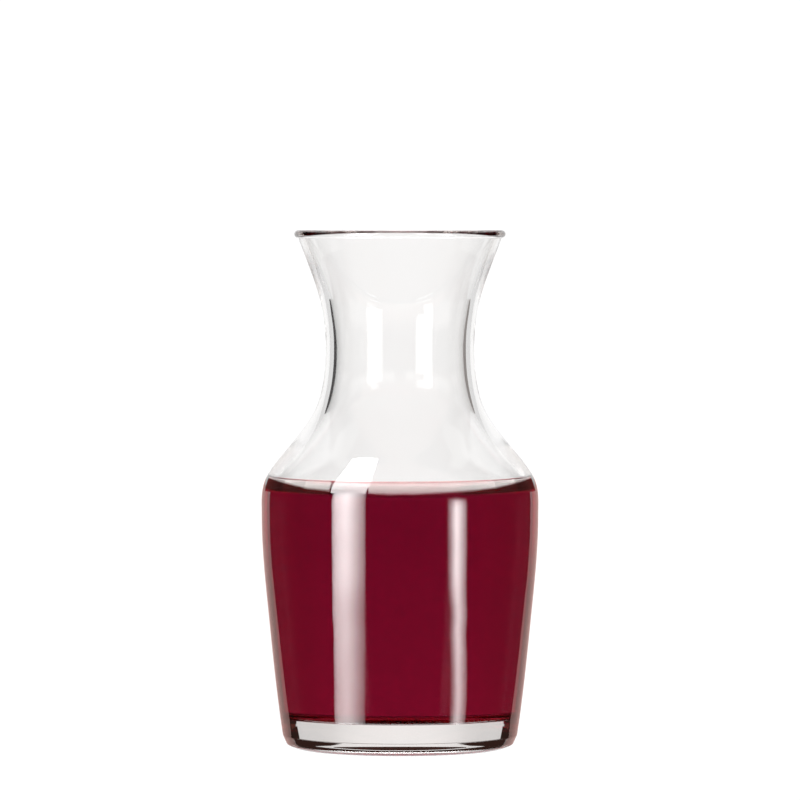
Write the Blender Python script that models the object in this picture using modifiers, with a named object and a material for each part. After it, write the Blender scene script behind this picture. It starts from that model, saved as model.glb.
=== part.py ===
"""Small stopperless wine decanter, part filled with red wine.

Two separate solids of revolution about +Z: the one-piece glass vessel and the
body of wine resting inside it. The origin is the centre of the circle the
vessel stands on, and z = 0 is that resting plane. Lengths are in millimetres,
and are turned into metres when the meshes are made. Profile points are
(radius, z).
"""

import math
from collections import namedtuple

import bpy
import numpy as np

MM = 0.001

# ------------------------------------------------------------ outer wall and lip
HEIGHT = 130.0            # overall height, resting plane to the top of the lip
LIP_BEAD_RADIUS = 1.0     # round bead that the lip rolls out to

# The outer wall is one smooth curve through its stations; slope is dr/dz.
Station = namedtuple("Station", "z radius slope")
HEEL_TOP = Station(4.5, 29.6, 0.15)
UNDER_LIP = Station(HEIGHT - 2 * LIP_BEAD_RADIUS, 25.5, 0.36)
OUTER_STATIONS = (
    HEEL_TOP,
    Station(32.0, 32.8, 0.10),      # lower wall
    Station(58.5, 34.7, 0.0),       # widest
    Station(68.0, 33.55, -0.48),    # shoulder
    Station(77.0, 26.85, -0.78),    # foot of the shoulder
    Station(87.0, 20.5, -0.33),     # foot of the neck
    Station(100.0, 18.65, 0.0),     # waist
    Station(113.0, 20.2, 0.27),     # flare
    UNDER_LIP,
)

# Wall thickness, square to the wall: (outer z, thickness).
WALL_STATIONS = (
    (10.0, 1.9), (64.0, 1.9), (85.0, 2.85),
    (99.0, 2.75), (109.0, 2.5), (UNDER_LIP.z, 1.6),
)

# ------------------------------------------------------------------ base of glass
FOOT_RADIUS = 25.2        # outer edge of the flat ring the vessel stands on
FOOT_INNER_RADIUS = 20.5  # inner edge of that ring
PUNT_HEIGHT = 3.0         # rise of the hollow under the base, at the centre
FLOOR_Z = 8.0             # inner floor, so the base is thick and heavy
FLOOR_CORNER = 2.2        # rounding between the floor and the inner wall

# The wall runs straight on below HEEL_TOP to the knuckle, then turns in to a bevel.
KNUCKLE_Z = 3.4
KNUCKLE_RADIUS = HEEL_TOP.radius - HEEL_TOP.slope * (HEEL_TOP.z - KNUCKLE_Z)
BEVEL_END_Z = 1.3         # where the bevel starts to round under
BEVEL_END_RADIUS = 28.51

# --------------------------------------------------------------------------- wine
WINE_LEVEL = 63.5         # flat part of the wine's surface
WINE_GAP = 0.3            # clearance between the wine and the glass
CAPILLARY_LENGTH = 2.4    # sets how far the wine climbs the glass
CONTACT_SLOPE = math.radians(104.0)  # slope of the surface where it meets the leaning glass
# Points of the climbing surface, as shares of the contact slope, glass inwards.
CLIMB_SHARES = (0.80, 0.60, 0.42, 0.26, 0.13, 0.04)

# ----------------------------------------------------------------- segment counts
TURN_STEPS = 60           # facets round the axis
INSIDE_SPANS = 20
OUTSIDE_SPANS = 22
WINE_SIDE_SPANS = 11
CORNER_SPANS = 5
LIP_SPANS = 5
BEAD_SPANS = 6
HEEL_SPANS = 4
PUNT_SPANS = 6


# ------------------------------------------------------------------- wall helpers
def span_at(stations, z):
    """The two stations either side of z, and how far z lies between them (0 to 1).

    A z beyond the ends is taken as the nearest end.
    """
    z = min(max(z, stations[0][0]), stations[-1][0])
    for lower, upper in zip(stations, stations[1:]):
        if z <= upper[0]:
            break
    return lower, upper, (z - lower[0]) / (upper[0] - lower[0])


def outer_radius(z):
    """Outer wall radius, by cubic Hermite curves between the stations."""
    lower, upper, t = span_at(OUTER_STATIONS, z)
    height = upper.z - lower.z
    return ((2 * t**3 - 3 * t**2 + 1) * lower.radius
            + (t**3 - 2 * t**2 + t) * height * lower.slope
            + (3 * t**2 - 2 * t**3) * upper.radius
            + (t**3 - t**2) * height * upper.slope)


def wall_thickness(z):
    """Wall thickness at outer height z, eased between the wall stations."""
    (_, lower), (_, upper), t = span_at(WALL_STATIONS, z)
    return lower + (upper - lower) * t * t * (3 - 2 * t)


def inner_point(z, gap=0.0):
    """The point square across the wall from outer height z, set in by a further gap."""
    probe = 0.05
    # The radius is constant beyond the end stations, so the slope is halved right at an end.
    slope = (outer_radius(z + probe) - outer_radius(z - probe)) / (2 * probe)
    length = math.hypot(1.0, slope)
    depth = wall_thickness(z) + gap
    return outer_radius(z) - depth / length, z + depth * slope / length


def outer_height_for(inner_z, gap):
    """The outer height whose inner point is at height inner_z, by bisection."""
    low, high = inner_z - 5.0, inner_z + 5.0
    for _ in range(40):
        middle = (low + high) / 2
        if inner_point(middle, gap)[1] < inner_z:
            low = middle
        else:
            high = middle
    return (low + high) / 2


def heights(low, high, spans):
    """Heights from low to high, closer together where the outer wall bends more."""
    samples = 400
    base_density = 0.06   # keeps some points where the wall is straight
    probe = 1.0           # distance above and below at which the bend is measured
    fine = [low + (high - low) * i / samples for i in range(samples + 1)]
    load = [0.0]          # running total of point density
    for start, end in zip(fine, fine[1:]):
        z = (start + end) / 2
        bend = abs(outer_radius(z + probe) - 2 * outer_radius(z) + outer_radius(z - probe))
        load.append(load[-1] + (base_density + math.sqrt(bend)) * (end - start))
    equal_loads = [load[-1] * i / spans for i in range(spans + 1)]
    return np.interp(equal_loads, load, fine).tolist()


def bezier(start, start_handle, end_handle, end, spans):
    """Points along a cubic curve, both ends included."""
    points = []
    for i in range(spans + 1):
        t = i / spans
        weights = ((1 - t)**3, 3 * t * (1 - t)**2, 3 * t * t * (1 - t), t**3)
        controls = (start, start_handle, end_handle, end)
        points.append(tuple(sum(weight * point[axis] for weight, point in zip(weights, controls))
                            for axis in (0, 1)))
    return points


def cavity_floor(gap):
    """Floor and rounded corner of the cavity, shrunk by gap, from the axis outwards.

    Also gives the outer height at which the side wall takes over.
    """
    z = FLOOR_Z + gap
    side_start = z + FLOOR_CORNER
    wall_r, wall_z = inner_point(side_start, gap)
    corner_r = wall_r - FLOOR_CORNER
    pull = 0.55 * FLOOR_CORNER   # handle length for a nearly circular corner
    corner = bezier((corner_r, z), (corner_r + pull, z),
                    (wall_r - 0.1 * pull, wall_z - pull), (wall_r, wall_z), CORNER_SPANS)
    return [(0.0, z)] + corner, side_start


# ------------------------------------------------------------------ glass profile
def lip_profile(inner_top):
    """From the top of the inner wall, over the lip and round its bead."""
    inner_r, inner_z = inner_top
    bead_r = UNDER_LIP.radius
    bead_z = HEIGHT - LIP_BEAD_RADIUS
    rise = HEIGHT - inner_z
    roll = bezier(inner_top, (inner_r + 0.20 * rise, inner_z + 0.55 * rise),
                  (bead_r - 0.8, HEIGHT), (bead_r, HEIGHT), LIP_SPANS)[1:]
    turns = [math.pi * i / BEAD_SPANS for i in range(1, BEAD_SPANS)]
    bead = [(bead_r + LIP_BEAD_RADIUS * math.sin(turn),
             bead_z + LIP_BEAD_RADIUS * math.cos(turn)) for turn in turns]
    return roll + bead


def heel_profile():
    """The knuckle, the bevel, and the rounding under to the foot ring."""
    bevel_slope = (KNUCKLE_RADIUS - BEVEL_END_RADIUS) / (KNUCKLE_Z - BEVEL_END_Z)
    drop = 0.45   # how far the first handle carries the bevel on down
    rounding = bezier((BEVEL_END_RADIUS, BEVEL_END_Z),
                      (BEVEL_END_RADIUS - bevel_slope * drop, BEVEL_END_Z - drop),
                      (FOOT_RADIUS + 1.1, 0.15), (FOOT_RADIUS, 0.0), HEEL_SPANS)
    return [(KNUCKLE_RADIUS, KNUCKLE_Z)] + rounding


def punt_profile():
    """The hollow under the base, from the foot ring in to the axis."""
    shares = [i / PUNT_SPANS for i in range(PUNT_SPANS + 1)]
    return [(FOOT_INNER_RADIUS * (1 - share),
             PUNT_HEIGHT * (0.5 - 0.5 * math.cos(math.pi * share))) for share in shares]


def glass_profile():
    """Axis at the inner floor, up inside, over the lip, down outside, to the axis."""
    floor, side_start = cavity_floor(0.0)
    inside = [inner_point(z) for z in heights(side_start, UNDER_LIP.z, INSIDE_SPANS)[1:]]
    outer_heights = heights(HEEL_TOP.z, UNDER_LIP.z, OUTSIDE_SPANS)
    outside = [(outer_radius(z), z) for z in reversed(outer_heights)]
    return (floor + inside + lip_profile(inside[-1])
            + outside + heel_profile() + punt_profile())


# ------------------------------------------------------------------- wine profile
def capillary_rise(slope):
    """Height above the flat level where the surface has this slope."""
    return 2 * CAPILLARY_LENGTH * math.sin(slope / 2)


def capillary_reach(slope):
    """Radial place on the capillary curve where the surface has this slope."""
    return CAPILLARY_LENGTH * (math.log(math.tan(slope / 4)) + 2 * math.cos(slope / 2))


def wine_surface(contact_r):
    """Axis out along the flat, then up the meniscus, stopping short of the glass."""
    climb = []
    for share in CLIMB_SHARES:
        slope = CONTACT_SLOPE * share
        inset = capillary_reach(CONTACT_SLOPE) - capillary_reach(slope)
        climb.append((contact_r - inset, WINE_LEVEL + capillary_rise(slope)))
    # The flat ends one more step in, as wide as the innermost step of the climb.
    flat_r = 2 * climb[-1][0] - climb[-2][0]
    return [(0.0, WINE_LEVEL), (flat_r, WINE_LEVEL)] + climb[::-1]


def wine_profile():
    """Axis at the surface, out to the glass, down the side, back to the axis."""
    floor, side_start = cavity_floor(WINE_GAP)
    contact = outer_height_for(WINE_LEVEL + capillary_rise(CONTACT_SLOPE), WINE_GAP)
    side = [inner_point(z, WINE_GAP) for z in heights(side_start, contact, WINE_SIDE_SPANS)[1:]]
    return wine_surface(side[-1][0]) + side[::-1] + floor[::-1]


# ---------------------------------------------------------------------- materials
def material(name, colour, roughness, ior, transmission):
    made = bpy.data.materials.new(name)
    made.use_nodes = True
    made.diffuse_color = colour
    inputs = made.node_tree.nodes["Principled BSDF"].inputs
    inputs["Base Color"].default_value = colour
    inputs["Roughness"].default_value = roughness
    inputs["Metallic"].default_value = 0.0
    inputs["IOR"].default_value = ior
    inputs["Transmission Weight"].default_value = transmission
    return made


def glass_material():
    return material("clear_glass", colour=(0.93, 0.95, 0.95, 1.0),
                    roughness=0.02, ior=1.52, transmission=1.0)


def wine_material():
    return material("red_wine", colour=(0.16, 0.004, 0.018, 1.0),
                    roughness=0.03, ior=1.34, transmission=0.6)


# ------------------------------------------------------------------------- pieces
def turned(name, profile, look, collection, parent):
    """A solid of revolution: the profile in the XZ plane, turned about Z."""
    mesh = bpy.data.meshes.new(name)
    mesh.from_pydata([(r * MM, 0.0, z * MM) for r, z in profile],
                     [(i, i + 1) for i in range(len(profile) - 1)], [])
    mesh.materials.append(look)
    piece = bpy.data.objects.new(name, mesh)
    collection.objects.link(piece)
    turn = piece.modifiers.new("Turn", "SCREW")
    turn.axis = "Z"
    turn.angle = math.tau
    turn.steps = TURN_STEPS
    turn.render_steps = TURN_STEPS
    turn.use_merge_vertices = True   # closes the seam and the points on the axis
    turn.merge_threshold = 0.00001
    turn.use_smooth_shade = True
    piece.parent = parent


def build():
    for old in list(bpy.data.objects):
        bpy.data.objects.remove(old, do_unlink=True)

    decanter = bpy.data.collections.new("wine_decanter")
    bpy.context.scene.collection.children.link(decanter)

    base_centre = bpy.data.objects.new("base_centre", None)
    base_centre.empty_display_size = 0.02
    decanter.objects.link(base_centre)

    turned("glass_vessel", glass_profile(), glass_material(), decanter, base_centre)
    turned("red_wine", wine_profile(), wine_material(), decanter, base_centre)


build()
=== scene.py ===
"""Small stopperless wine decanter: a clear glass vessel and the red wine in it.

The scene is in metres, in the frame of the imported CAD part: +Z up, origin at the centre
of the circle the base stands on. The camera looks from -Y, so -X is left.
Profiles and studio cards are designed in millimetres.
"""

import math

import bmesh
import bpy
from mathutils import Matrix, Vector


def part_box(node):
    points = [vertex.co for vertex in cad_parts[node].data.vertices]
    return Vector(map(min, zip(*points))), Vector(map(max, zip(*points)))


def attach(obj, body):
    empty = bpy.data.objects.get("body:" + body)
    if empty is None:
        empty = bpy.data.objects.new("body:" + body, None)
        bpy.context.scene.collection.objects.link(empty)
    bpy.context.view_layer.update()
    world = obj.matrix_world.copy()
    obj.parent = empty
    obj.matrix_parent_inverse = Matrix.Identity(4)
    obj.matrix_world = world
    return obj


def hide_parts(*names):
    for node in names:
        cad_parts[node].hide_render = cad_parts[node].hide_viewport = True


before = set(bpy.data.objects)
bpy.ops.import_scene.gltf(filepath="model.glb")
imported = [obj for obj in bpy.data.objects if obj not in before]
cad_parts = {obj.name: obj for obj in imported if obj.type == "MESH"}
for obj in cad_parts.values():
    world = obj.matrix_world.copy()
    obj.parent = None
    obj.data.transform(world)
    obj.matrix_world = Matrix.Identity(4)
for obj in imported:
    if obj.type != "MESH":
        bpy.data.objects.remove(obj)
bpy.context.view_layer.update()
scene = bpy.context.scene

MM = 0.001
GLASS_LOW, GLASS_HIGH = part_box("glass_vessel")
HEIGHT = (GLASS_HIGH.z - GLASS_LOW.z) / MM            # 130 mm
WIDEST_R = (GLASS_HIGH.x - GLASS_LOW.x) / 2 / MM      # about 34.7 mm

# ------------------------------------------------------------ vessel and wine, mm
# Outer wall: height, radius, slope dr/dz.
OUTER = (
    (4.5, 29.6, 0.15), (32.0, 32.8, 0.10), (58.5, WIDEST_R - 0.02, 0.0),
    (68.0, 33.55, -0.48), (77.0, 26.85, -0.78), (87.0, 20.5, -0.33),
    (100.0, 18.65, 0.0), (113.0, 20.2, 0.27), (HEIGHT - 2.0, 25.5, 0.36),
)
WALL_LOW, WALL_TOP = OUTER[0][0], OUTER[-1][0]
FOOT_SLOPE, BEAD_CENTRE_R = OUTER[0][2], OUTER[-1][1]
# Wall: height on the outer face, thickness.
WALL = ((10.0, 1.9), (64.0, 1.9), (85.0, 2.85), (99.0, 2.75), (109.0, 2.5), (128.0, 1.6))
LIP_BEAD_R = 1.0
BEAD_STEPS = 14
UNDER_BEAD = (0.04, 0.12, 0.3, 0.6)    # depths below the wall's top of the extra rings there
FOOT_R, FOOT_INNER_R = 25.2, 20.5
PUNT_H, PUNT_STEPS = 3.0, 20
# Radius, height.
KNUCKLE = (29.435, 3.4)                # where the wall turns in to the bevelled heel
BEVEL_END = (28.51, 1.3)
KNUCKLE_TURN = 0.25                    # height of the knuckle's rounding, above and below
FLOOR_Z, FLOOR_CORNER = 8.0, 2.2
FLOOR_STEPS = 10
CURVE_STEPS = 12                       # steps of the floor corner, lip and foot curves
WALL_STEP, WET_STEP = 1.0, 1.2         # longest ring spacing on dry glass, on wetted faces
SLOPE_REACH = 0.05                     # half the height over which a slope is measured

WINE_LEVEL = 63.5
CAPILLARY_LENGTH = 2.4                 # sets how far the wine climbs the glass
MENISCUS_ANGLE = 104.0                 # slope of the surface at the leaning glass, degrees
MENISCUS_RISE = 2 * CAPILLARY_LENGTH * math.sin(math.radians(MENISCUS_ANGLE / 2))
CONTACT_Z = WINE_LEVEL + MENISCUS_RISE
CONTACT_DROP = 0.02                    # the wine's rim stops this far below CONTACT_Z
CONTACT_GAP = 0.03                     # film between the wine and the glass it wets
MENISCUS_STEPS, MENISCUS_EASE = 41, 1.6
MENISCUS_CUT = 0.004                   # rise below which the surface counts as flat
SURFACE_STEPS = 8

GLASS_IOR, WINE_IOR = 1.52, 1.345
SEGMENTS = 256


def bracket(table, x):
    """The two neighbouring rows whose first columns enclose x."""
    for row, following in zip(table, table[1:]):
        if x <= following[0]:
            break
    return row, following


def clamped(x, table):
    return min(max(x, table[0][0]), table[-1][0])


def outer_radius(z):
    z = clamped(z, OUTER)
    (z0, r0, slope0), (z1, r1, slope1) = bracket(OUTER, z)
    h = z1 - z0
    t = (z - z0) / h
    return ((2 * t**3 - 3 * t**2 + 1) * r0 + (t**3 - 2 * t**2 + t) * h * slope0
            + (3 * t**2 - 2 * t**3) * r1 + (t**3 - t**2) * h * slope1)


def outer_slope(z):
    rise = outer_radius(z + SLOPE_REACH) - outer_radius(z - SLOPE_REACH)
    return rise / (2 * SLOPE_REACH)


def thickness(z):
    z = clamped(z, WALL)
    (z0, thick0), (z1, thick1) = bracket(WALL, z)
    t = (z - z0) / (z1 - z0)
    return thick0 + (thick1 - thick0) * t * t * (3 - 2 * t)


def bezier(p0, p1, p2, p3, count):
    points = []
    for i in range(count + 1):
        t = i / count
        weights = ((1 - t)**3, 3 * t * (1 - t)**2, 3 * t * t * (1 - t), t**3)
        a, b, c, d = weights
        points.append(tuple(a * p0[k] + b * p1[k] + c * p2[k] + d * p3[k] for k in (0, 1)))
    return points


def inner_point(z, gap=0.0):
    """(r, z) square to the outer wall at height z, gap inside the inner face."""
    slope = outer_slope(z)
    size = math.hypot(1.0, slope)
    depth = thickness(z) + gap
    return outer_radius(z) - depth / size, z + depth * slope / size


def outer_height_for(inner_z, gap=0.0):
    """Height on the outer wall whose inner point lies at inner_z, by bisection."""
    low, high = inner_z - 6.0, inner_z + 6.0
    for _ in range(50):
        middle = (low + high) / 2
        if inner_point(middle, gap)[1] < inner_z:
            low = middle
        else:
            high = middle
    return (low + high) / 2


def span(low, high, step):
    count = max(2, int(math.ceil((high - low) / step)))
    return [low + (high - low) * i / count for i in range(count + 1)]


def cavity_floor(gap):
    """Flat floor and rounded corner, and the outer height where the wall takes over."""
    z = FLOOR_Z + gap
    top = z + FLOOR_CORNER
    wall_r, wall_z = inner_point(top, gap)
    flat_r = wall_r - FLOOR_CORNER
    pull = 0.55 * FLOOR_CORNER
    corner = bezier((flat_r, z), (flat_r + pull, z),
                    (wall_r - 0.1 * pull, wall_z - pull), (wall_r, wall_z), CURVE_STEPS)
    flat = [(corner[0][0] * i / FLOOR_STEPS, z) for i in range(FLOOR_STEPS)]
    return flat + corner, top


def marked(points, wetted):
    return [(r, z, wetted) for r, z in points]


def rim_profile(inner_end):
    """Lip from the inner wall up to the top, then the bead turning down outside."""
    r, z = inner_end
    rise = HEIGHT - z
    lip = bezier((r, z), (r + 0.20 * rise, z + 0.55 * rise),
                 (BEAD_CENTRE_R - 0.8, HEIGHT), (BEAD_CENTRE_R, HEIGHT), CURVE_STEPS)[1:]
    angles = [math.pi * i / BEAD_STEPS for i in range(1, BEAD_STEPS)]
    bead_z = HEIGHT - LIP_BEAD_R
    return lip + [(BEAD_CENTRE_R + LIP_BEAD_R * math.sin(a), bead_z + LIP_BEAD_R * math.cos(a))
                  for a in angles]


def heel_profile():
    """Knuckle, bevel and rounded edge of the foot, downwards."""
    r, z = KNUCKLE
    bevel = (r - BEVEL_END[0]) / (z - BEVEL_END[1])
    heel = [(r + FOOT_SLOPE * 0.7, z + 0.7)]
    heel += bezier((r + FOOT_SLOPE * KNUCKLE_TURN, z + KNUCKLE_TURN), KNUCKLE, KNUCKLE,
                   (r - bevel * KNUCKLE_TURN, z - KNUCKLE_TURN), 6)
    heel += [(r - bevel * drop, z - drop) for drop in (0.8, 1.4)]
    heel += bezier(BEVEL_END, (BEVEL_END[0] - bevel * 0.45, BEVEL_END[1] - 0.45),
                   (FOOT_R + 1.1, 0.15), (FOOT_R, 0.0), CURVE_STEPS)
    return heel


def glass_profile():
    """Points (r, z, wetted) from the axis at the inner floor round to the axis below."""
    floor_points, floor_top = cavity_floor(0.0)
    split = outer_height_for(CONTACT_Z)
    wet = floor_points + [inner_point(z) for z in span(floor_top, split, WET_STEP)[1:]]
    dry = [inner_point(z) for z in span(split, WALL_TOP, WALL_STEP)[1:]]
    heights = span(WALL_LOW, WALL_TOP, WALL_STEP)[::-1]
    heights[1:1] = [WALL_TOP - drop for drop in UNDER_BEAD]
    outside = [(outer_radius(z), z) for z in heights]
    foot = [(FOOT_R + (FOOT_INNER_R - FOOT_R) * i / 3, 0.0) for i in (1, 2)]
    punt = [(FOOT_INNER_R * (1 - i / PUNT_STEPS),
             PUNT_H * (0.5 - 0.5 * math.cos(math.pi * i / PUNT_STEPS)))
            for i in range(PUNT_STEPS + 1)]
    dry += rim_profile(dry[-1]) + outside + heel_profile() + foot + punt
    return marked(wet, 1.0) + marked(dry, 0.0)


def meniscus(top_r, top_z):
    """Capillary curve inwards from the glass.

    At slope angle p the surface stands 2 a sin(p/2) above the level, a being
    the capillary length.
    """
    def reach(p):
        return CAPILLARY_LENGTH * (math.log(math.tan(p / 4)) + 2 * math.cos(p / 2))

    steepest = math.radians(MENISCUS_ANGLE)
    curve = []
    for i in range(MENISCUS_STEPS):
        p = steepest * (1 - i / MENISCUS_STEPS)**MENISCUS_EASE
        rise = (top_z - WINE_LEVEL) * math.sin(p / 2) / math.sin(steepest / 2)
        curve.append((top_r - (reach(steepest) - reach(p)), WINE_LEVEL + rise))
    return [(r, z) for r, z in curve if z - WINE_LEVEL > MENISCUS_CUT]


def wine_profile():
    """Points (r, z, wetted) from the axis at the surface, out, down, back to the axis."""
    floor_points, low = cavity_floor(CONTACT_GAP)
    contact = outer_height_for(CONTACT_Z - CONTACT_DROP, CONTACT_GAP)
    side = [inner_point(z, CONTACT_GAP) for z in span(low, contact, WET_STEP)[1:]]
    curve = meniscus(*side[-1])
    flat_r = curve[-1][0]
    surface = [(flat_r * i / SURFACE_STEPS, WINE_LEVEL) for i in range(SURFACE_STEPS)]
    return marked(surface + curve[::-1], 0.0) + marked(side[::-1] + floor_points[::-1], 1.0)


# ----------------------------------------------------------------- mesh making
def object_from(bm, name, looks):
    mesh = bpy.data.meshes.new(name)
    bm.to_mesh(mesh)
    bm.free()
    mesh.materials.append(looks)
    made = bpy.data.objects.new(name, mesh)
    scene.collection.objects.link(made)
    return made


def turned(name, profile, looks):
    """A closed, smooth solid of revolution with the attribute wetted on its points."""
    bm = bmesh.new()
    layer = bm.verts.layers.float.new("wetted")
    rings = []
    for r, z, wetted in profile:
        if r < 1e-6:
            places = [(0.0, 0.0, z * MM)]
        else:
            angles = [math.tau * s / SEGMENTS for s in range(SEGMENTS)]
            places = [(r * MM * math.cos(a), r * MM * math.sin(a), z * MM) for a in angles]
        ring = [bm.verts.new(place) for place in places]
        for vert in ring:
            vert[layer] = wetted
        rings.append(ring)
    for a, b in zip(rings, rings[1:]):
        for s in range(SEGMENTS):
            t = (s + 1) % SEGMENTS
            if len(a) == 1:
                bm.faces.new((a[0], b[t], b[s]))
            elif len(b) == 1:
                bm.faces.new((a[s], a[t], b[0]))
            else:
                bm.faces.new((a[s], a[t], b[t], b[s]))
    bmesh.ops.recalc_face_normals(bm, faces=bm.faces)
    made = object_from(bm, name, looks)
    made.data.shade_smooth()
    return made


# ---------------------------------------------------------------- node helpers
def new_material(name):
    made = bpy.data.materials.new(name)
    made.use_nodes = True
    made.node_tree.nodes.clear()
    return made, made.node_tree


def add(tree, kind, inputs=None, **settings):
    """New node; each entry of inputs is a value, or an output socket to link from."""
    node = tree.nodes.new(kind)
    for key, value in settings.items():
        setattr(node, key, value)
    for key, value in (inputs or {}).items():
        if isinstance(value, bpy.types.NodeSocket):
            tree.links.new(value, node.inputs[key])
        else:
            node.inputs[key].default_value = value
    return node


def calculate(tree, operation, *values):
    return add(tree, "ShaderNodeMath", dict(enumerate(values)), operation=operation).outputs[0]


def mix_colours(tree, factor, first, second, **settings):
    inputs = {0: factor, 6: first, 7: second}    # the mix node's sockets for colours
    return add(tree, "ShaderNodeMix", inputs, data_type="RGBA", **settings).outputs[2]


def wetted_ior(tree, dry, wet):
    """Refraction index: dry where the face meets air, wet where wine meets glass."""
    wetted = add(tree, "ShaderNodeAttribute", attribute_name="wetted")
    step = calculate(tree, "MULTIPLY", wetted.outputs["Fac"], wet - dry)
    return calculate(tree, "ADD", step, dry)


def clear_body(tree, colour, roughness, ior, density, absorbed):
    """Transmissive surface over a volume that absorbs red, green and blue per metre."""
    surface = add(tree, "ShaderNodeBsdfPrincipled", {
        "Base Color": colour, "Roughness": roughness, "IOR": ior, "Transmission Weight": 1.0})
    passed = tuple(1 - share / density for share in absorbed) + (1.0,)
    volume = add(tree, "ShaderNodeVolumeAbsorption", {"Color": passed, "Density": density})
    add(tree, "ShaderNodeOutputMaterial",
        {"Surface": surface.outputs[0], "Volume": volume.outputs[0]})


# ------------------------------------------------------------------- materials
def glass_material():
    made, tree = new_material("clear_glass")
    # Soft upright streaks, and a breath of haze here and there.
    place = add(tree, "ShaderNodeTexCoord")
    stretch = add(tree, "ShaderNodeMapping", {
        "Vector": place.outputs["Object"], "Scale": (90.0, 90.0, 14.0)})
    streaks = add(tree, "ShaderNodeTexNoise", {
        "Vector": stretch.outputs[0], "Scale": 1.0, "Detail": 3.0}).outputs["Fac"]
    colour = mix_colours(tree, streaks, (0.992, 0.988, 0.982, 1.0), (1.0, 1.0, 1.0, 1.0))
    haze = add(tree, "ShaderNodeMapRange", {
        "Value": streaks, "From Min": 0.62, "From Max": 0.85, "To Max": 0.012})
    ior = wetted_ior(tree, dry=GLASS_IOR, wet=GLASS_IOR / WINE_IOR)
    # The volume gives the warm grey of plain glass.
    clear_body(tree, colour, haze.outputs[0], ior, density=5.0, absorbed=(2.5, 3.2, 3.5))
    return made


WINE_TINT = (0.503, 0.020, 0.042, 1.0)    # what a wide body of the wine does to white light
WEDGE_TINT = (0.985, 0.94, 0.925, 1.0)
WEDGE_PALE, WEDGE_DEEP = 2.7, 1.5         # mm above the level: palest, and fully deep


def wine_material():
    made, tree = new_material("red_wine")
    # The thin wedge that climbs the glass stays pale, the body of the wine is deep.
    place = add(tree, "ShaderNodeTexCoord").outputs["Object"]
    height = add(tree, "ShaderNodeSeparateXYZ", {0: place})
    depth = add(tree, "ShaderNodeMapRange", {
        "Value": height.outputs["Z"],
        "From Min": (WINE_LEVEL + WEDGE_PALE) * MM, "From Max": (WINE_LEVEL + WEDGE_DEEP) * MM})
    tint = mix_colours(tree, depth.outputs[0], WEDGE_TINT, WINE_TINT)
    # Slow cloudiness in the depth of the colour.
    clouds = add(tree, "ShaderNodeTexNoise", {"Vector": place, "Scale": 45.0, "Detail": 2.0})
    shade = add(tree, "ShaderNodeMapRange", {
        "Value": clouds.outputs["Fac"], "To Min": 0.90, "To Max": 1.10})
    cloudy = mix_colours(tree, 1.0, tint, shade.outputs[0], blend_type="MULTIPLY")
    ior = wetted_ior(tree, dry=WINE_IOR, wet=1.0)
    clear_body(tree, cloudy, 0.0, ior, density=40.0, absorbed=(19.0, 34.0, 15.0))
    return made


def emitter(name, colour, strength, steepest=None):
    """Plain glow. Sight lines that fall more steeply than steepest, a sine, pass through it.

    With a negative steepest only those that rise at least as steeply meet it.
    """
    made, tree = new_material(name)
    surface = add(tree, "ShaderNodeEmission", {
        "Color": (*colour, 1.0), "Strength": strength}).outputs[0]
    if steepest is not None:
        ray = add(tree, "ShaderNodeNewGeometry")
        parts = add(tree, "ShaderNodeSeparateXYZ", {0: ray.outputs["Incoming"]})
        steep = calculate(tree, "GREATER_THAN", parts.outputs["Z"], steepest)
        clear = add(tree, "ShaderNodeBsdfTransparent").outputs[0]
        surface = add(tree, "ShaderNodeMixShader", {0: steep, 1: surface, 2: clear}).outputs[0]
    add(tree, "ShaderNodeOutputMaterial", {"Surface": surface})
    return made


vessel = turned("decanter_glass", glass_profile(), glass_material())
wine = turned("decanter_wine", wine_profile(), wine_material())
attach(vessel, "root")
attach(wine, "root")
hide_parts("glass_vessel")
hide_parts("red_wine")

# ------------------------------------------------------------------ camera, m
DISTANCE, EYE_Z, AIM_Z = 1.690, 0.139, 0.0874
VIEW_WIDTH = 0.2006      # width of the frame at the object's axis
SENSOR_WIDTH = 36.0      # mm


def make_camera():
    data = bpy.data.cameras.new("camera")
    made = bpy.data.objects.new("camera", data)
    scene.collection.objects.link(made)
    made.location = (0.0, -DISTANCE, EYE_Z)
    sight = Vector((0.0, 0.0, AIM_Z)) - made.location
    made.rotation_mode = "QUATERNION"
    made.rotation_quaternion = sight.to_track_quat("-Z", "Y")
    data.sensor_width = SENSOR_WIDTH
    data.lens = SENSOR_WIDTH * sight.length / VIEW_WIDTH
    data.clip_start, data.clip_end = 0.05, 20.0
    scene.camera = made
    return made


def make_rig():
    """Empty that turns about Z with the camera, its -Y facing it.

    The glass is lit the same way from every side.
    """
    made = bpy.data.objects.new("studio_rig", None)
    scene.collection.objects.link(made)
    follow = made.constraints.new("LOCKED_TRACK")
    follow.target = camera
    follow.track_axis = "TRACK_NEGATIVE_Y"
    follow.lock_axis = "LOCK_Z"
    return made


camera = make_camera()
rig = make_rig()


# ------------------------------------------------------------ studio cards, mm
def arc_point(radius, side, z):
    """Point on a circle about the axis, side degrees to the right of straight back."""
    a = math.radians(side)
    return Vector((radius * math.sin(a), radius * math.cos(a), z)) * MM


def mirrored_point(z, side, reach):
    """Point reach mm away where the vessel, at height z, side degrees off its front, mirrors."""
    a = math.radians(side)
    r = outer_radius(z)
    point = Vector((r * math.sin(a), -r * math.cos(a), z)) * MM
    normal = Vector((math.sin(a), -math.cos(a), -outer_slope(z))).normalized()
    line = (point - camera.location).normalized()
    return point + (line - 2 * line.dot(normal) * normal) * reach * MM


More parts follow.
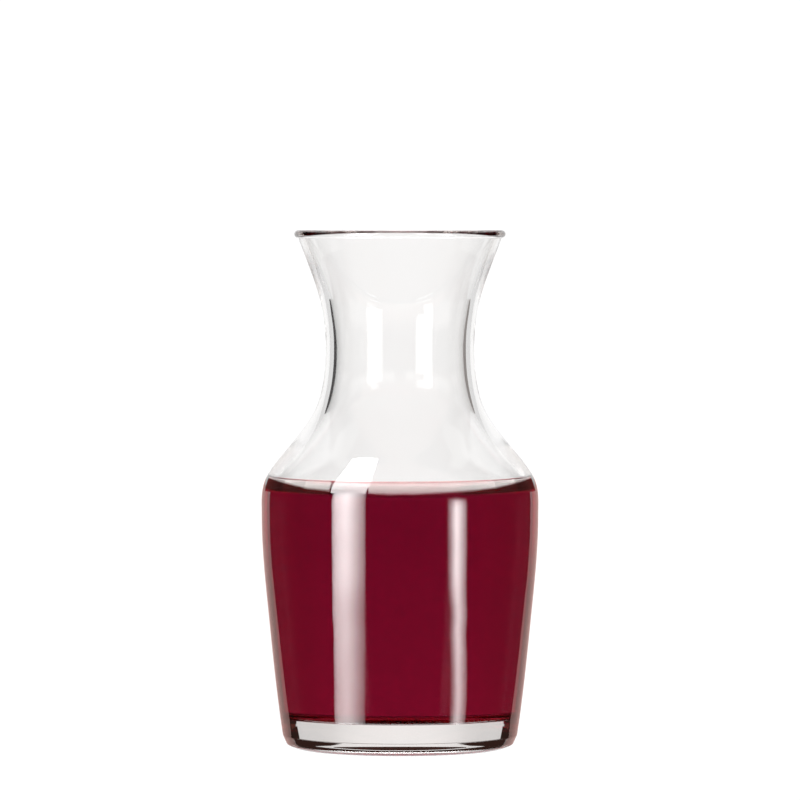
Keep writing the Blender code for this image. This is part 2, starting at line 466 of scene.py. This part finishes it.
def ribbon(name, pairs, looks, mirrored):
    """Card between two rows of points, unseen by the camera.

    The glass either mirrors it or passes it on.
    """
    bm = bmesh.new()
    rows = [(bm.verts.new(a), bm.verts.new(b)) for a, b in pairs]
    for (a, b), (c, d) in zip(rows, rows[1:]):
        bm.faces.new((a, b, d, c))
    card = object_from(bm, name, looks)
    card.parent = rig
    card.visible_camera = False
    card.visible_diffuse = False
    card.visible_glossy = mirrored
    card.visible_transmission = not mirrored


def arc_card(name, looks, radius, sides, low, high, widening=0.0, mirrored=False):
    """Upright card round the axis; its top rises by widening per degree from the back."""
    pairs = [(arc_point(radius, side, low), arc_point(radius, side, high + abs(side) * widening))
             for side in sides]
    ribbon(name, pairs, looks, mirrored)


def mirror_card(name, looks, rows, reach):
    """Card at the places that rows of two (height, side) spots on the vessel mirror."""
    pairs = [[mirrored_point(z, side, reach) for z, side in row] for row in rows]
    ribbon(name, pairs, looks, mirrored=True)


HANDS = (("left", -1), ("right", 1))
LEVEL_SINE = 0.235       # base cards are met only by sight lines falling less steeply
# Painted shadow colour: the dim red of the shade the wine-filled vessel casts on the table, used
# on the dark cards at the foot.
WINE_SHADOW_RED = (1.0, 0.45, 0.35)
WARM_BLACK = (1.0, 0.9, 0.85)


def passed_cards():
    """Cards seen only through the glass."""
    # Dark cards beside the neck draw its dark inner lines.
    for (hand, turn), back, glow in zip(HANDS, (107.0, 105.0), (0.012, 0.25)):
        pairs = [[Vector((turn * 113.0, y, z)) * MM for z in (70.0, 132.0)]
                 for y in (-60.0, back)]
        name = "card_" + hand
        ribbon(name, pairs, emitter(name, WARM_BLACK, glow), mirrored=False)
    # A low dark card behind the foot, and a narrow one further back for the heel. Both are
    # painted shade: the first stands in for the red shadow the wine-filled vessel casts on the
    # table, and the second paints the dark line along the heel.
    arc_card("painted_shadow_base", emitter("painted_shadow_base", WINE_SHADOW_RED, 0.03, LEVEL_SINE),
             radius=60.0, sides=range(-64, 65, 8), low=-6.0, high=4.0)
    arc_card("painted_shade_heel", emitter("painted_shade_heel", (1.0, 0.5, 0.4), 0.05, -0.10),
             radius=250.0, sides=range(-60, 61, 5), low=44.0, high=64.0, widening=0.2)
    # Painted shadow: dim red cards low behind the foot, one on either side, give the dark red
    # bars in the base in place of the wine's red shade on the table.
    for hand, turn in HANDS:
        name = "painted_shadow_side_" + hand
        arc_card(name, emitter(name, WINE_SHADOW_RED, 0.03, LEVEL_SINE), radius=45.0,
                 sides=[turn * side for side in (14.5, 19, 24, 29, 34)], low=2.0, high=10.5)
    # Pale cards from the sides to the front of the shoulder, and beside the flare.
    for hand, turn in HANDS:
        name = "card_shoulder_" + hand
        arc_card(name, emitter(name, (1.0, 0.97, 0.95), 0.85), radius=45.0,
                 sides=[turn * side for side in range(60, 177, 9)], low=69.0, high=77.0)
    for hand, turn in HANDS:
        name = "card_flare_" + hand
        arc_card(name, emitter(name, (1.0, 0.98, 0.96), 0.85), radius=40.0,
                 sides=[turn * side for side in range(58, 119, 10)], low=110.0, high=126.0)


# Outline of the boards beside the body: height, distance of the outer edge from the middle.
BOARD = ((69.0, 79.8), (48.0, 82.6), (-8.0, 90.0), (-20.0, 76.0), (-40.0, 75.0))
BOARD_INNER_X, BOARD_Y = 36.0, 50.0
# Rows of two spots (height, side) mirroring the two bright cards over the left shoulder.
TOP_ROWS = (((73.65, -23.5), (73.7, -10.5)), ((68.5, -28.1), (67.5, -12.6)))
LOW_ROWS = (((67.5, -12.6), (65.4, -14.2)), ((68.5, -28.1), (65.4, -29.8)))


def mirrored_cards():
    """Cards the outer face mirrors."""
    for hand, turn in HANDS:
        pairs = [[Vector((turn * x, BOARD_Y, z)) * MM for x in (BOARD_INNER_X, outer_x)]
                 for z, outer_x in BOARD]
        name = "board_" + hand
        ribbon(name, pairs, emitter(name, (0.86, 0.55, 0.51), 1.0), mirrored=True)
    # Flags that shade the two soft boxes: below the wine, and in front of the neck.
    flag = emitter("flag", WARM_BLACK, 0.02)
    upper = [mirrored_point(8.1, side, 12.0) for side in range(-64, 65, 8)]
    ribbon("flag_base", [(p, p - Vector((0, 0, 9.0)) * MM) for p in upper], flag, mirrored=True)
    for hand, turn in HANDS:
        arc_card("flag_" + hand, flag, radius=48.0,
                 sides=[turn * side for side in range(112, 169, 8)],
                 low=88.0, high=114.0, mirrored=True)
    # The bright top of the left box, close over the shoulder.
    for name, rows, strength in (("card_top", TOP_ROWS, 12.0), ("card_low", LOW_ROWS, 14.0)):
        mirror_card(name, emitter(name, (1.0, 1.0, 1.0), strength), rows, reach=20.0)


# What the glass mirrors in front of the wine's raised edge: pale light along the top,
# a rose band, and brown below it. EDGE is where rose meets brown: side in degrees, height.
EDGE = ((0, 65.0), (14, 65.3), (31, 65.75), (42, 66.15), (50, 66.75), (57, 67.3),
        (63, 67.7), (80, 68.2))
EDGE_TOP, EDGE_BOTTOM, ROSE_HEIGHT = 68.2, 64.9, 0.35
# Bands from the top down: name, colour, strength.
EDGE_BANDS = (("pale", (1.0, 0.95, 0.91), 9.0), ("rose", (1.0, 0.72, 0.70), 4.5),
              ("brown", (0.90, 0.16, 0.15), 0.9))
# Stretches round the vessel: from side, to side, share of the full strength.
STRETCHES = ((-78, -58, 0.35), (-58, -44, 0.72), (-44, -30.4, 1.0),
             (-13, 44, 1.0), (44, 58, 0.72), (58, 78, 0.35))


def edge_height(side):
    side = abs(side)
    (side0, z0), (side1, z1) = bracket(EDGE, side)
    return z0 + (z1 - z0) * (side - side0) / (side1 - side0)


def edge_cards():
    for start, end, share in STRETCHES:
        sides = [start + (end - start) * i / 6 for i in range(7)]
        limits = [(EDGE_TOP, edge_height(side) + ROSE_HEIGHT, edge_height(side), EDGE_BOTTOM)
                  for side in sides]
        hand = "l" if start < 0 else "r"
        for band, (label, colour, strength) in enumerate(EDGE_BANDS):
            rows = [((z[band], side), (z[band + 1], side)) for z, side in zip(limits, sides)]
            name = f"card_{label}_{hand}{abs(start)}"
            mirror_card(name, emitter(name, colour, strength * share), rows, reach=30.0)


WHITE = 1.08                              # level of the sweep and floor
FLOOR_HALF, FLOOR_TOP = 3, -0.0002        # metres


def make_floor():
    bm = bmesh.new()
    corners = ((-1, -1), (1, -1), (1, 1), (-1, 1))
    bm.faces.new([bm.verts.new((x * FLOOR_HALF, y * FLOOR_HALF, FLOOR_TOP)) for x, y in corners])
    made = object_from(bm, "floor", emitter("pale_floor", (1.0, 1.0, 1.0), WHITE))
    made.visible_glossy = False
    made.visible_transmission = False


passed_cards()
mirrored_cards()
edge_cards()
make_floor()

# ----------------------------------------------------------------------- world
# A white sweep behind, black towards the camera, two tall soft boxes.
# Tables hold (angle in degrees, level or share). Azimuth is 0 straight back and + right,
# aside is its size, elevation is + up.
DIM = 0.015              # the dark room on the camera's side
# What the glass passes on, by aside: a white sweep, a dark gap, then a side light.
SWEEP = ((0, WHITE), (8, 1.06), (14, 1.02), (20, 0.95), (25, 0.86), (30, 0.83), (35.5, 0.82),
         (44, 0.84), (50.5, 0.84), (51.8, DIM), (180, DIM))
SIDE_LIGHT = ((0, 0.0), (53.2, 0.0), (54.2, 1.5), (57, 1.5), (60, 0.85), (65, 0.3),
              (70, 0.0), (180, 0.0))
SIDE_LIGHT_RISE = ((-20, 0.0), (-14, 1.0), (-1, 1.0), (2.5, 0.4), (4, 0.0))
# What its outer face mirrors, by aside: the sweep only.
MIRRORED_SWEEP = ((0, 0.94), (20, 0.90), (39, 0.88), (40.5, DIM), (180, DIM))
# A soft light overhead brightens what leans upwards.
OVERHEAD_RISE = ((24, 0.0), (34, 1.25), (90, 1.25))
OVERHEAD_ASIDE = ((0, 1.0), (70, 1.0), (85, 0.0), (180, 0.0))
# Light bounced off the front of the table.
TABLE_RISE = ((-90, 0.35), (-30, 0.35), (-22, 0.0))
TABLE_ASIDE = ((0, 0.0), (90, 0.0), (105, 1.0), (180, 1.0))
# The lit table straight below, front half and back half.
NADIR_FRONT_RISE = ((-90, 14.0), (-78, 14.0), (-70, 0.0))
NADIR_FRONT_ASIDE = ((0, 0.0), (88, 0.0), (92, 1.0), (180, 1.0))
NADIR_BACK_RISE = ((-90, 14.0), (-60, 9.0), (-48, 0.0))
NADIR_BACK_ASIDE = ((0, 1.0), (88, 1.0), (92, 0.0), (180, 0.0))
# Light from over the camera, passed on by the wine's raised edge.
GLOW_RISE = ((4, 0.0), (14, 1.0), (90, 1.0))
GLOW_ASIDE = ((0, 0.0), (85, 0.0), (100, 1.0), (180, 1.0))
GLOW_COLOUR = (0.75, 0.60, 0.56)
ROOM_BROWN = (0.09, 0.03, 0.022)    # the least the glass passes on
# The soft boxes lean: how far each drifts outwards, by elevation off their level.
BOX_AZIMUTH, BOX_LEVEL = 131.0, -3.0
BOX_TILT = 0.0034                   # change of that elevation per degree off centre
LEFT_WIDENING, RIGHT_WIDENING = 0.012, 0.0    # change of drift per degree off centre
LEFT_DRIFT = ((-22, 8.0), (-14.3, 6.5), (-13.05, 5.1), (-12.2, 4.5), (-11.5, 3.9), (-11.1, 3.0),
              (-10.6, 2.2), (-9.7, 1.7), (-8.3, 1.2), (-6.3, 0.65), (-3.8, 0.3), (0, 0.0),
              (26, 0.4), (36, 1.2), (42, 2.0), (50, 7.0))
RIGHT_DRIFT = ((-22, 10.0), (-14.0, 9.3), (-13.1, 8.6), (-12.2, 7.6), (-11.5, 6.3), (-11.2, 5.5),
               (-11.0, 4.3), (-10.6, 3.0), (-9.7, 1.9), (-8.2, 1.25), (-6.2, 0.85),
               (-3.8, 0.45), (0, 0.0), (50, 0.0))
# Their brightness across, by drifted azimuth, and up, by elevation.
LEFT_BOX = ((-151.8, 0.0), (-150.3, 3.8), (-146.5, 7.0), (-141.3, 12.0), (-137, 16.0),
            (-133, 16.8), (-129, 15.0), (-125.3, 12.4), (-122.5, 8.0), (-121, 0.0))
RIGHT_BOX = ((122.2, 0.0), (123.7, 4.0), (126.7, 8.4), (130.2, 15.0), (132.2, 17.0),
             (134.2, 13.7), (136.7, 6.5), (139.2, 2.0), (140.7, 0.0))
BOX_FALL = ((-33, 0.0), (-28, 0.5), (-19, 0.64), (-14.6, 0.70), (-13.7, 0.82), (-12.8, 0.97),
            (-11.4, 1.05), (-7, 1.05), (-3, 1.17))
LEFT_RISE = BOX_FALL + ((8, 1.25), (21, 1.28), (24, 0.0))
RIGHT_RISE = BOX_FALL + ((-1, 1.1), (3, 0.85), (6, 0.6), (9, 0.12), (11, 0.0))
# The same boxes as the far wall of the neck returns them, seen through the near wall.
BACK_LEFT = ((-151, 0.0), (-149, 3.5), (-123, 3.5), (-121, 0.0))
BACK_LEFT_RISE = ((-25.5, 0.0), (-24, 1.0), (12, 1.0), (14, 0.0))
BACK_RIGHT = ((122, 0.0), (124, 3.5), (138, 3.5), (140, 0.0))
BACK_RIGHT_RISE = ((-30, 0.0), (-28.5, 1.0), (15, 1.0), (17.5, 0.0))


def make_world():
    world = bpy.data.worlds.new("studio")
    scene.world = world
    world.use_nodes = True
    tree = world.node_tree
    tree.nodes.clear()

    def plus(a, b):
        return calculate(tree, "ADD", a, b)

    def times(a, b):
        return calculate(tree, "MULTIPLY", a, b)

    def larger(a, b):
        return calculate(tree, "MAXIMUM", a, b)

    def ramp(value, low, high, stops):
        """Grey level along value, from (position, level) stops with levels of any size."""
        place = add(tree, "ShaderNodeMapRange", {
            "Value": value, "From Min": low, "From Max": high})
        curve = add(tree, "ShaderNodeValToRGB", {0: place.outputs[0]})
        peak = max(level for _, level in stops)
        elements = curve.color_ramp.elements
        while len(elements) < len(stops):
            elements.new(0.5)
        for element, (position, level) in zip(elements, stops):
            element.position = (position - low) / (high - low)
            element.color = (level / peak,) * 3 + (1.0,)
        return times(curve.outputs[0], peak)

    coords = add(tree, "ShaderNodeTexCoord", object=rig)
    x, y, z = add(tree, "ShaderNodeSeparateXYZ", {0: coords.outputs["Object"]}).outputs
    degrees = 180 / math.pi
    azimuth = times(calculate(tree, "ARCTAN2", x, y), degrees)
    flat = calculate(tree, "SQRT", plus(times(x, x), times(y, y)))
    elevation = times(calculate(tree, "ARCTAN2", z, flat), degrees)
    aside = calculate(tree, "ABSOLUTE", azimuth)
    off_level = plus(elevation, -BOX_LEVEL)

    def across(stops, angle=azimuth):
        return ramp(angle, -180, 180, stops)

    def around(stops):
        return ramp(aside, 0, 180, stops)

    def upwards(stops):
        return ramp(elevation, -90, 90, stops)

    def drifted(turn, stops, widening):
        """Azimuth with one box's lean taken out; turn is -1 for the left box."""
        off_centre = plus(azimuth, -turn * BOX_AZIMUTH)
        level = times(off_level, plus(times(off_centre, -turn * BOX_TILT), 1.0))
        drift = ramp(level, -22, 52, stops)
        widen = plus(times(off_centre, -turn * widening), 1.0)
        return plus(azimuth, times(times(drift, widen), turn))

    # What the glass passes on.
    side_light = times(around(SIDE_LIGHT), upwards(SIDE_LIGHT_RISE))
    through = plus(around(SWEEP), side_light)
    inside = plus(times(across(BACK_LEFT), upwards(BACK_LEFT_RISE)),
                  times(across(BACK_RIGHT), upwards(BACK_RIGHT_RISE)))
    table = times(upwards(TABLE_RISE), around(TABLE_ASIDE))
    passed = plus(plus(through, inside), table)

    # What the outer face mirrors.
    left = times(across(LEFT_BOX, drifted(-1, LEFT_DRIFT, LEFT_WIDENING)), upwards(LEFT_RISE))
    right = times(across(RIGHT_BOX, drifted(1, RIGHT_DRIFT, RIGHT_WIDENING)),
                  upwards(RIGHT_RISE))
    overhead = times(upwards(OVERHEAD_RISE), around(OVERHEAD_ASIDE))
    nadir = plus(times(upwards(NADIR_FRONT_RISE), around(NADIR_FRONT_ASIDE)),
                 times(upwards(NADIR_BACK_RISE), around(NADIR_BACK_ASIDE)))
    mirrored = plus(plus(plus(plus(left, right), around(MIRRORED_SWEEP)), overhead), nadir)

    path = add(tree, "ShaderNodeLightPath")
    is_through = path.outputs["Is Transmission Ray"]
    not_through = calculate(tree, "SUBTRACT", 1.0, is_through)
    total = plus(times(passed, is_through), times(mirrored, not_through))
    glow = times(times(upwards(GLOW_RISE), around(GLOW_ASIDE)), is_through)
    # The camera itself sees the plain white sweep behind the object.
    seen = times(path.outputs["Is Camera Ray"], WHITE)
    channels = {}
    for i, (least, lit) in enumerate(zip(ROOM_BROWN, GLOW_COLOUR)):
        channel = larger(total, times(is_through, least))
        channel = larger(channel, times(glow, lit))
        channels[i] = larger(channel, seen)
    tinted = add(tree, "ShaderNodeCombineColor", channels)
    background = add(tree, "ShaderNodeBackground", {
        "Color": tinted.outputs[0], "Strength": 1.0})
    add(tree, "ShaderNodeOutputWorld", {0: background.outputs[0]})


def set_render():
    scene.view_settings.view_transform = "Standard"
    scene.view_settings.look = "None"
    cycles = scene.cycles
    cycles.max_bounces = 200
    cycles.transmission_bounces = 200
    cycles.glossy_bounces = 200
    cycles.transparent_max_bounces = 16
    cycles.volume_bounces = 0
    cycles.sample_clamp_indirect = 0.0
    cycles.blur_glossy = 0.0
    cycles.use_denoising = True


make_world()
set_render()
